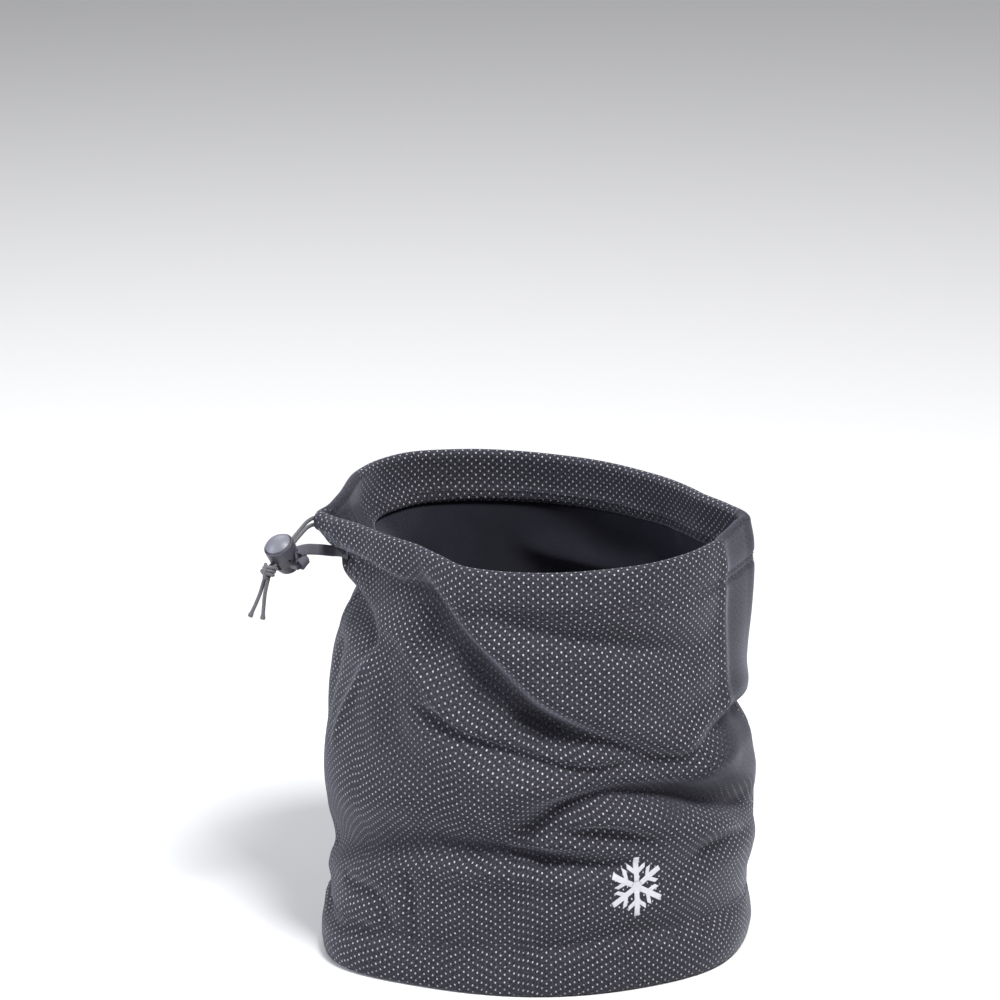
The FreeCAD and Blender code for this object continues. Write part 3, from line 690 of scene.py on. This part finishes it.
def cloth_path(step):
    """One panel's cloth from the facing's raw edge, over the roll, down the outside and up inside the hem.

    Returns heights, depths behind the outer face, and millimetres along the cloth.
    """
    fine = 0.7
    hem_top = 15
    rows = [(h, FACING_DEPTH) for h in np.arange(CASING_EDGE, ROLL_LEVEL, 1.3)]
    for t in np.linspace(0, math.pi, 11):
        rows.append((ROLL_LEVEL + ROLL * math.sin(t), ROLL + ROLL * math.cos(t)))
    rows += [(h, 0.0) for h in np.arange(ROLL_LEVEL - fine, CASING_EDGE, -fine)]
    rows += [(h, 0.0) for h in np.arange(CASING_EDGE, hem_top, -step)]
    rows += [(h, 0.0) for h in np.arange(hem_top, 1.5, -fine)]
    for t in np.linspace(0, math.pi / 2, 5):
        rows.append((HEM_CORNER * (1 - math.sin(t)), HEM_CORNER * (1 - math.cos(t))))
    for t in np.linspace(math.pi / 2, 0, 5):
        rows.append((HEM_CORNER * (1 - math.sin(t)), FACING_DEPTH - HEM_CORNER * (1 - math.cos(t))))
    rows += [(h, FACING_DEPTH) for h in np.arange(2.4, HEM_DEPTH + 0.1, 1.2)]
    rows = np.array(rows)
    keep = np.concatenate([[True], np.linalg.norm(np.diff(rows, axis=0), axis=1) > 0.05])
    rows = rows[keep]
    return rows[:, 0], rows[:, 1], run_along(rows)


def panel_angles(low, high, step):
    """Angles across a panel, closer together beside the drawcord's exit."""
    angles = []
    a = low
    while a < high - 1e-6:
        angles.append(a)
        gap = min(abs(a + 90), abs(a - 270))
        a += step * (0.42 if gap < 7 else 1.0)
    return np.array(angles + [high])


# The lens-shaped hole that lets the cord out: its middle and its half widths, as angle and height.
EXIT_HOLE = ((-91.2, 168.7), (2.6, 2.2))


def add_panel(cloth, name, low, high, mat):
    step = 1.05
    height, depth, run = cloth_path(step)
    edge = 0.05
    angles = panel_angles(low + edge, high - edge, step * 0.72)
    angle, tall = np.meshgrid(angles, height, indexing="ij")
    deep = np.broadcast_to(depth, angle.shape)
    verts = cloth.behind(angle, tall, deep)
    rows, cols = angle.shape
    centre, half = EXIT_HOLE
    gap = np.where(angle > 180, angle - 360, angle) - centre[0]
    near_u, near_v = gap / half[0], (tall - centre[1]) / half[1]
    away = np.hypot(near_u, near_v)
    outer = (deep < 0.01) & (tall < ROLL_LEVEL)
    faces = []
    hole_edge = set()
    for face in grid_faces(rows, cols):
        inside = [away.flat[v] < 1 and outer.flat[v] for v in face]
        if sum(inside) >= 2:
            hole_edge.update(face)
        else:
            faces.append(face)
    used = {v for face in faces for v in face}
    flat = verts.reshape(-1, 3)
    flat[:, 2] = np.maximum(flat[:, 2], 0.0)
    # the cells' corners round the hole move onto its outline
    for v in hole_edge & used:
        u, w = near_u.flat[v] / away.flat[v], near_v.flat[v] / away.flat[v]
        a = centre[0] + u * half[0]
        if (low < 0) != (a > -90):
            continue
        flat[v] = cloth.behind(a, centre[1] + w * half[1], 0.0)
    # the dots follow the cloth's own length up each column
    steps_up = np.linalg.norm(np.diff(verts, axis=1), axis=2)
    own = np.concatenate([np.zeros((rows, 1)), np.cumsum(steps_up, axis=1)], axis=1)
    up = 0.3 * np.broadcast_to(run, angle.shape) + 0.7 * (own + run[0])
    uv = np.stack([np.radians(angle) * RADIUS, up], axis=-1).reshape(-1, 2)
    order = sorted(used)
    index = {v: i for i, v in enumerate(order)}
    faces = [tuple(index[v] for v in face) for face in faces]
    obj = make_object(name, flat[order], faces, uv[order], mat)
    # Painted shade: the dots fade in the deep valleys of the folds.
    valley_painted_shade = ease(2.6, 6.5, -fold_shift(angle, tall)) * (deep < 1)
    share = (dot_share(angle, tall, deep) * (1 - 0.8 * valley_painted_shade)).reshape(-1)[order]
    strength = obj.data.attributes.new("dot_strength_painted_light", "FLOAT", "POINT")
    strength.data.foreach_set("value", share.astype(np.float32))
    thicken(obj, SHELL_THICKNESS)
    return finish_piece(obj, "gaiter", (name,))


def dot_share(angle, height, depth):
    """How plainly the dots show, with painted light and shade: the dots fade in shade below the long
    diagonal fold, and a painted sheen washes them out on the right hump and on the patch beside the
    drawcord's exit. They also fade on the strip at the right side and low on the left.
    """
    around = (angle + 90.0) % 360.0 - 90.0
    facing = (depth > 4.7) & (height > 100)
    front = around < 90.02
    strip = ease(58.5, 64.5, around) * front * ease(94, 104, height)
    # Painted sheen: the dots fade on the hump's highlight.
    hump_painted_sheen = ease(43, 54, around - 0.9 * (height - 84)) * ease(64, 73, height) * (1 - ease(98, 106, height))
    hump_painted_sheen = hump_painted_sheen * front
    # Painted sheen: the dots fade beside the drawcord's exit, fully on the facing and the roll's top.
    plain = ease(241, 246, around) * (1 - ease(266, 269, around))
    plain = plain * np.where(facing | (height > 171), 1.0, 0.3) * ease(150, 156, height)
    # Painted shade: the dots fade below the long diagonal fold.
    shade = bell(around + 40, 12) * bell(height - 104, 26)
    low_left = bell(around + 62, 22) * bell(height - 56, 12) * 0.4
    share = 1 - 0.95 * strip - 0.92 * hump_painted_sheen - 0.95 * plain - 0.45 * shade - low_left
    return np.clip(share, 0.0, 1.0)


def add_lining(cloth, mat):
    step = 1.7
    height = np.linspace(17.2, 158.8, int(142 / step))
    angles = np.linspace(-90, 270, int(520 / step), endpoint=False)
    angle, tall = np.meshgrid(angles, height, indexing="ij")
    verts = cloth.behind(angle, tall, LINING_DEPTH)
    faces = grid_faces(*angle.shape, close_rows=True)
    uv = np.stack([np.radians(angle) * RADIUS, tall], axis=-1).reshape(-1, 2)
    obj = make_object("lining", verts.reshape(-1, 3), faces, uv, mat)
    thicken(obj, LINING_THICKNESS)
    return finish_piece(obj, "gaiter", ("lining",))


def threads(name, paths, radius, mat, across=(0.0, 0.0, 1.0)):
    """One object of many short round-ended threads; each path is an array of points in millimetres."""
    sides = 6
    verts, faces, uv = [], [], []
    for path in paths:
        tangent = unit(np.gradient(path, axis=0))
        side = np.cross(tangent, across)
        side /= np.linalg.norm(side, axis=1, keepdims=True) + 1e-12
        up = np.cross(side, tangent)
        run = run_along(path)
        at_end = np.minimum(run, run[-1] - run)
        size = radius * np.sqrt(np.clip(1 - (1 - np.clip(at_end / (radius * 1.3), 0, 1)) ** 2, 0.05, 1))
        base = len(verts)
        for k in range(len(path)):
            for m in range(sides):
                t = 2 * math.pi * m / sides
                verts.append(path[k] + size[k] * (math.cos(t) * side[k] + math.sin(t) * up[k]))
                uv.append((m / sides, run[k]))
        faces += [turned(face) for face in tube_faces(base, len(path), sides)]
    return make_object(name, verts, faces, uv, mat)


def stitch_row(cloth, name, level, mat):
    """Needle-thread stitches on the outside and bobbin stitches on the inside of one row."""
    pitch = 3.3 / RADIUS * 180 / math.pi
    count = round(360 / pitch)
    paths = []
    for k in range(count):
        start = -90 + 360 * (k + 0.18) / count
        angle = np.linspace(start, start + 360 * 0.72 / count, 5)
        sink = np.array([0.25, -0.02, -0.1, -0.02, 0.25])
        wander = 0.12 * math.sin(k * 1.7) + 0.05 * math.sin(k * 5.1)
        paths.append(cloth.behind(angle, level + wander, sink))
        angle = angle + 180 / count
        paths.append(cloth.behind(angle, level - wander, FACING_DEPTH - sink))
    obj = threads(name, paths, 0.24, mat)
    return finish_piece(obj, "gaiter", (name,))


def side_seam(cloth, name, centre, mat):
    """An overlocked zigzag between the shell and the lining."""
    low, high = 22.5, 153.5
    steps = 140
    zigzag = np.where(np.arange(steps) % 2 == 0, -1.7, 1.7)
    paths = [cloth.behind(centre + zigzag, np.linspace(low, high, steps), 1.66)]
    for side in (-1.8, 1.8):
        paths.append(cloth.behind(centre + side, np.linspace(low, high, 60), 1.6))
    obj = threads(name, paths, 0.2, mat)
    return finish_piece(obj, "gaiter", (name,))


def star_pieces():
    """A six-armed star with small chevrons, as flat four-sided pieces that don't overlap."""
    pieces = []
    half = 1.1  # half an arm's width
    reach = 12
    inner = half * math.sqrt(3)
    spread = math.radians(52)
    for k in range(6):
        t = math.pi / 3 * k + math.pi / 2
        u = np.array([math.cos(t), math.sin(t)])
        v = np.array([-u[1], u[0]])
        left, right = u * inner - v * half, u * inner + v * half
        pieces.append([left, u * reach - v * half, u * reach + v * half, right])
        pieces.append([np.zeros(2), left, (left + right) / 2, right])
        for side in (-1, 1):
            lean = u * math.cos(spread) + v * side * math.sin(spread)
            low, high = u * 5.2 + v * side * half, u * 7.2 + v * side * half
            pieces.append([low, low + lean * 3.4, high + lean * 3.4, high][::-side])
    return pieces


MARK_AT = (28.0, 42.0)


def add_mark(cloth, mat):
    verts, faces, uv = [], [], []
    cells = 10
    for a, b, c, d in star_pieces():
        base = len(verts)
        for i in range(cells + 1):
            for j in range(cells + 1):
                s, t = i / cells, j / cells
                p = a * (1 - s) * (1 - t) + b * s * (1 - t) + c * s * t + d * (1 - s) * t
                uv.append(tuple(p))
                verts.append(p)
        faces += [turned(tuple(base + v for v in face)) for face in grid_faces(cells + 1, cells + 1)]
    flat = np.array(verts)
    angle = MARK_AT[0] + np.degrees(flat[:, 0] / RADIUS)
    points = cloth.above(angle, MARK_AT[1] + flat[:, 1], 0.14)
    obj = make_object("printed_mark", points, faces, uv, mat)
    thicken(obj, 0.2)
    return finish_piece(obj, "gaiter", ("printed_mark",))


# ---------------------------------------------------------------- drawcord, knot and lock

# The lock's own frame: U runs along its cords towards the knot, W along its button, V across both.
LOCK_AT = np.array([-99.7, -7.0, 157.05])
U = unit((-0.55, -0.6254, -0.5487))
W = np.array([-0.372, -0.4054, 0.835])
W = unit(W - U * (W @ U))
V = np.cross(W, U)
CORD_LEVEL = 1.2  # how far along W the cords pass through the lock
TAIL_WAY = unit((-0.25, 0.05, -0.967))
TAIL_ACROSS = unit(V - TAIL_WAY * (V @ TAIL_WAY)) * CORD_OFFSET
KNOT = 10.3  # how far along U the knot's middle is
KNOT_FACE = 2.7  # from its middle to where the cords enter and leave it


def in_lock(x, y, z):
    """A place given in the lock's own frame."""
    return LOCK_AT + U * x + V * y + W * z


KNOT_AT = in_lock(KNOT, 0, CORD_LEVEL)


def nurbs_line(name, points):
    """The line of a spline through given points, as an array of points in millimetres."""
    curve = bpy.data.curves.new(name, "CURVE")
    curve.dimensions = "3D"
    spline = curve.splines.new("NURBS")
    spline.points.add(len(points) - 1)
    for spot, p in zip(spline.points, points):
        spot.co = (*(np.asarray(p, float) * MM), 1.0)
    spline.order_u = 3
    spline.use_endpoint_u = True
    spline.resolution_u = 24
    obj = bpy.data.objects.new(name, curve)
    bpy.context.collection.objects.link(obj)
    bpy.context.view_layer.update()
    mesh = bpy.data.meshes.new_from_object(obj)
    line = np.array([v.co for v in mesh.vertices], float) / MM
    bpy.data.objects.remove(obj)
    bpy.data.meshes.remove(mesh)
    return line


def evenly(line, step):
    """The same line with its points a steady distance apart."""
    run = run_along(line)
    at = np.linspace(0, run[-1], max(3, int(run[-1] / step) + 1))
    return np.stack([np.interp(at, run, line[:, k]) for k in range(3)], axis=1), at


def cord_tube(name, line, radius, mat, sides=20):
    """A braided round cord along a line; radius may change along it."""
    braid = 0.05  # how far the braid's low spots sink, as a share of the radius
    points, run = evenly(line, 0.22)
    tangent = unit(np.gradient(points, axis=0))
    side = np.cross(tangent[0], (0.3, 0.2, 0.9))
    verts, uv = [], []
    for k, (p, t) in enumerate(zip(points, tangent)):
        side = unit(side - t * (side @ t))
        up = np.cross(t, side)
        size = radius(run[k], run[-1]) if callable(radius) else radius
        for m in range(sides):
            turn = m / sides
            one = abs(((turn * BRAID[0] + run[k] / BRAID[1]) % 1) - 0.5) * 2
            two = abs(((turn * BRAID[0] - run[k] / BRAID[1]) % 1) - 0.5) * 2
            here = size * (1 - braid + braid * max(one, two))
            a = 2 * math.pi * turn
            verts.append(p + here * (math.cos(a) * side + math.sin(a) * up))
            uv.append((turn, run[k]))
    return make_object(name, verts, tube_faces(0, len(points), sides), uv, mat), points


# Each strand's way out of the casing, before it reaches the lock, and the last points of each tail.
FRONT_ROUTE = (
    (-78.69, -12.0, 168.0), (-79.59, -6.07, 168.0), (-85.0, -0.2, 168.0), (-89.3, 0.9, 167.4),
    (-92.3, 0.0, 165.2),
)
BACK_ROUTE = (
    (-78.69, 12.0, 168.0), (-79.59, 6.07, 168.0), (-85.0, 3.4, 170.2), (-89.9, 3.2, 169.2),
    (-93.7, 1.27, 165.2),
)
FRONT_TAIL_END = ((-107.7, -13.6, 138.8), (-108.2, -13.9, 132.8))
BACK_TAIL_END = ((-110.5, -12.6, 139.5), (-113.3, -13.0, 133.6))


def casing_run(cloth, mat):
    """The drawcord inside its casing, from one side of the exit round to the other."""
    first, last = -81.33, 261.33
    angle = np.linspace(first, last, 420)
    line = cloth.behind(angle, FRONT_ROUTE[0][2], ROLL)
    start, stop = (bell(angle - end, 9)[:, None] for end in (first, last))
    line = line + (FRONT_ROUTE[0] - line[0]) * start + (BACK_ROUTE[0] - line[-1]) * stop
    obj, _ = cord_tube("drawcord_casing_run", line, CORD, mat, sides=10)
    return finish_piece(obj, "gaiter", ("drawcord_casing_run",))


def flared(run, length):
    """A cord's radius near its cut end, which opens a little."""
    opened = 0.38 * float(ease(length - 2.6, length - 0.5, run))
    return CORD * (1 + opened - 0.12 * float(ease(length - 0.5, length, run)))


def knot_line(side):
    """One cord's way through the knot: along its core, back outside, round the core and out to its tail."""
    along = unit(U + TAIL_WAY)
    across = np.cross(along, V)
    inside = 0.6  # how far the cord goes on inside the pieces that it meets
    start = in_lock(KNOT - KNOT_FACE - inside, CORD_OFFSET * side, CORD_LEVEL)
    end = KNOT_AT + TAIL_WAY * (KNOT_FACE + inside) + TAIL_ACROSS * side

    def spot(reach, radius, turn):
        t = math.radians(turn + (180 if side < 0 else 0))
        return KNOT_AT + along * reach + (V * math.cos(t) + across * math.sin(t)) * radius

    core = [spot(-1.0, 0.75, 0), spot(1.2, 0.75, 10), spot(2.5, 1.3, 30)]
    back = [spot(2.3, 2.3, 60), spot(0.4, 2.75, 80), spot(-1.6, 2.3, 105)]
    coil = [spot(-2.3 + 3.6 * k / 10, 2.25 + 0.1 * math.sin(k), 135 + 46 * k) for k in range(11)]
    return smooth_line([start, start + U, *core, *back, *coil, end - TAIL_WAY * 1.1, end], 260)


def join(name, objs):
    """Several meshes made into one."""
    bpy.ops.object.select_all(action="DESELECT")
    for o in objs:
        o.select_set(True)
    bpy.context.view_layer.objects.active = objs[0]
    bpy.ops.object.join()
    objs[0].name = name
    return objs[0]


def add_cords(cloth, mat):
    casing_run(cloth, mat)
    pieces = {}
    lines = {}
    for name, route, side in (("front_strand", FRONT_ROUTE, 1), ("back_strand", BACK_ROUTE, -1)):
        line = nurbs_line(name, [*route, in_lock(-4, CORD_OFFSET * side, CORD_LEVEL)])
        obj, points = cord_tube(name, line, CORD, mat)
        finish_piece(obj, "gaiter", (name,))
        pieces[name], lines[name] = obj, points
        reaches = np.linspace(-7, KNOT - KNOT_FACE, 30)
        straight = np.stack([in_lock(reach, CORD_OFFSET * side, CORD_LEVEL) for reach in reaches])
        end, _ = cord_tube(name + "_end", straight, CORD * 0.96, mat)
        pieces[name + "_end"] = finish_piece(end, "cord_ends", (name + "_end",))
    for name, tail_end, side in (("front_tail", FRONT_TAIL_END, 1), ("back_tail", BACK_TAIL_END, -1)):
        first = KNOT_AT + TAIL_WAY * KNOT_FACE + TAIL_ACROSS * side
        line = nurbs_line(name, [first, first + TAIL_WAY * 5, *tail_end])
        tail, _ = cord_tube(name, line, flared, mat)
        pieces[name] = finish_piece(tail, "cord_ends", (name,))
    loops = [cord_tube("knot_" + str(side), knot_line(side), CORD * 0.94, mat)[0] for side in (-1, 1)]
    knot = join("drawcord_knot", loops)
    finish_piece(knot, "cord_ends", ("drawcord_knot",))
    for name, length in (("front_strand", 0.0308), ("back_strand", 0.0314)):
        tail = name.replace("strand", "tail")


def tape_mesh(name, stations, half, thick, mat):
    """A flat woven tape through (centre, width direction) stations, with rounded selvedges."""
    count = 14 * (len(stations) - 1) + 1
    line = smooth_line([centre for centre, way in stations], count)
    wide = smooth_line([unit(way) for centre, way in stations], count)
    tangent = unit(np.gradient(line, axis=0))
    wide = unit(wide - tangent * np.sum(wide * tangent, axis=1, keepdims=True))
    through = np.cross(tangent, wide)
    run = run_along(line)
    outline = []
    for face in (1, -1):
        outline += [(face * (-1 + 0.25 * k), face * (0.5 if 0 < k < 8 else 0.2)) for k in range(9)]
    verts, uv = [], []
    for k in range(count):
        rib = 1 + 0.12 * math.sin(run[k] * 2 * math.pi / 0.9)
        for a, b in outline:
            verts.append(line[k] + wide[k] * half * a + through[k] * thick * b * rib)
            uv.append((a * half, run[k]))
    faces = [face[::-1] for face in tube_faces(0, count, len(outline))]
    return make_object(name, verts, faces, uv, mat)


def add_tape(cloth, mat, thread):
    """The tether from the lock's loop to the casing, where it is tacked down beside the side seam."""
    down = np.array([0.0, 0.0, -1.0])
    landing = cloth.above(-88.5, 158.6, 1.3)
    stations = (
        (in_lock(0, 9.7, 1.9), U),
        (in_lock(0, 10.8, 0.2), U),
        (in_lock(0, 10.9, -1.6), U),
        (in_lock(0, 10.2, -3.1), U),
        (in_lock(0, 9.2, -3.3), U),
        (in_lock(0, 8.3, -2.8), U),
        (in_lock(0, 8.15, -1.3), U),
        (in_lock(0, 8.4, 0.4), U),
        (in_lock(-0.2, 9.1, 2.0), U),
        (in_lock(-0.9, 9.3, 3.7), U * 0.9 + down * 0.5),
        (np.array((-90.6, -12.9, 161.3)), U * 0.35 + down * 0.9),
        (np.array((-86.6, -9.6, 160.3)), down + U * 0.1),
        (landing, down),
        (cloth.above(-86.6, 157.7, 0.42), down),
        (cloth.above(-84.6, 157.2, 0.42), down),
    )
    tape = tape_mesh("tether_tape", stations, 2.2, 0.6, mat)
    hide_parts("tether_tape")
    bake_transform(tape)
    add_tack(cloth, thread)


def add_tack(cloth, thread):
    """The bar of stitches over the tape's end, and its three loose thread ends."""
    paths = []
    for k in range(7):
        angle = -86.9 + 0.27 * k
        heights = np.linspace(154.7, 160.0, 9)
        lift = np.array([0.05, 0.35, 0.8, 0.88, 0.9, 0.88, 0.8, 0.35, 0.05])
        lean = np.linspace(-0.1, 0.1, 9) * (1 if k % 2 else -1)
        paths.append(cloth.above(angle + lean, heights, lift))
    for k, (drop, swing) in enumerate(((3.1, 0.5), (2.2, -0.3), (2.7, 0.1))):
        heights = np.linspace(155.9, 155.9 - drop, 6)
        angle = -84.9 + 0.25 * k + swing * np.linspace(0, 1, 6) ** 2
        lift = np.linspace(0.75, 0.5 + 0.4 * k, 6)
        paths.append(cloth.above(angle, heights, lift))
    tack = threads("tether_tack", paths, 0.2, thread, across=(0, 1, 0))
    finish_piece(tack, "gaiter", ("tether_tack",))


def exit_binding(cloth, thread):
    """Close satin stitches round the hole that lets the cord out."""
    centre, half = EXIT_HOLE
    grow = np.array([0.93, 0.9, 1.0, 1.25, 1.4])
    depth = np.array([0.7, 0.1, -0.22, -0.24, 0.12])
    count = 46
    paths = []
    for k in range(count):
        t = 2 * math.pi * (k + 0.5) / count
        angle, height = centre[0] + half[0] * grow * math.cos(t), centre[1] + half[1] * grow * math.sin(t)
        paths.append(cloth.behind(angle, height, depth))
    obj = threads("cord_exit_binding", paths, 0.17, thread, across=(0.1, 0.1, 1.0))
    finish_piece(obj, "gaiter")


# ---------------------------------------------------------------- the whole thing

def main():
    add_camera()
    add_stage()
    cloth = Wall()
    shell = shell_material()
    lining = lining_material()
    thread = thread_material("polyester_thread", (0.016, 0.016, 0.020, 1), (0.045, 0.045, 0.054, 1), 0.8)
    webbing = thread_material("tether_webbing", (0.050, 0.049, 0.062, 1), (0.135, 0.130, 0.158, 1), 0.9)
    elastic = braid_material("braided_elastic", (0.028, 0.027, 0.033, 1), (0.120, 0.116, 0.127, 1))
    front = add_panel(cloth, "front_panel", -90.0, 90.0, shell)
    back = add_panel(cloth, "back_panel", 90.0, 270.0, shell)
    inside = add_lining(cloth, lining)
    for name, level in STITCH_ROWS.items():
        stitch_row(cloth, name, level, thread)
    side_seam(cloth, "left_side_seam", -90.0, thread)
    side_seam(cloth, "right_side_seam", 90.0, thread)
    add_mark(cloth, print_material())
    add_cords(cloth, elastic)
    add_tape(cloth, webbing, thread)
    exit_binding(cloth, thread)
    housing = plastic_material("lock_housing_plastic", (0.045, 0.044, 0.056, 1), (0.072, 0.070, 0.088, 1))
    button = plastic_material("lock_button_plastic", (0.135, 0.135, 0.165, 1), (0.175, 0.175, 0.21, 1))
    steel = steel_material()
    for node, mat in (("lock_housing", housing), ("lock_plunger", button), ("lock_spring", steel)):
        for slot in bpy.data.objects[node].material_slots:
            slot.material = mat


main()
